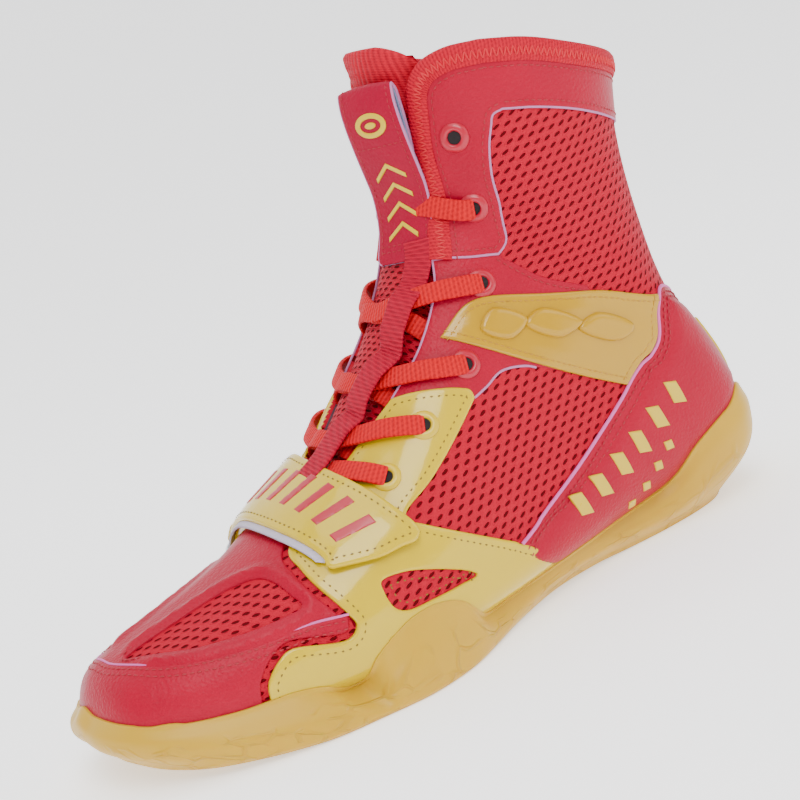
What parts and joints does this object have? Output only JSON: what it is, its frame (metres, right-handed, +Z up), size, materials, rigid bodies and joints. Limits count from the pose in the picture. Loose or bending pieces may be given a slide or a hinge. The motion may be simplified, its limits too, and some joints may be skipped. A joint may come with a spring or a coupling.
{
  "type": "boxing shoe",
  "caption": "High laced boxing shoe for the left foot: padded mesh upper with leather and patent overlays, forefoot strap with a ring, and a thin gum sole with a cupped heel.",
  "frame": {"origin": "middle of the flat spot under the heel, on the floor", "axes": "+X towards the toe, +Y towards the outer (lateral) side, +Z up"},
  "size_m": [0.275, 0.1045, 0.1909],
  "materials": {
    "gum": "satin",
    "mesh": "matte",
    "leather": "satin",
    "patent": "gloss",
    "band": "gloss",
    "lace": "matte",
    "lining": "matte",
    "metal": "polished",
    "eyelet_red": "satin",
    "eyelet_yellow": "gloss"
  },
  "bodies": {
    "root": {"outsole": "gum", "upper": "mesh", "insole": "lining", "tongue": "mesh", "tongue_webbing": "lace", "pull_tab": "leather", "vamp_frame": "leather", "toe_guard": "leather", "heel_counter": "leather", "collar_panel": "leather", "collar_binding": "lace", "lace_bar_top": "lace", "lace_cross_1": "lace", "lace_cross_2": "lace", "lace_cross_3": "lace", "lace_bar_bottom": "lace", "strap": "patent", "strap_ring": "metal", "ring_tab": "patent", "forefoot_overlay_lateral": "patent", "eyestay_lateral": "leather", "side_band_lateral": "band", "eyelet_lateral_1": "eyelet_red", "eyelet_lateral_2": "eyelet_red", "eyelet_lateral_3": "eyelet_red", "eyelet_lateral_4": "eyelet_red", "eyelet_lateral_5": "eyelet_yellow", "eyelet_lateral_6": "eyelet_yellow", "forefoot_overlay_medial": "patent", "eyestay_medial": "leather", "side_band_medial": "band", "eyelet_medial_1": "eyelet_red", "eyelet_medial_2": "eyelet_red", "eyelet_medial_3": "eyelet_red", "eyelet_medial_4": "eyelet_red", "eyelet_medial_5": "eyelet_yellow", "eyelet_medial_6": "eyelet_yellow"}
  },
  "joints": []
}
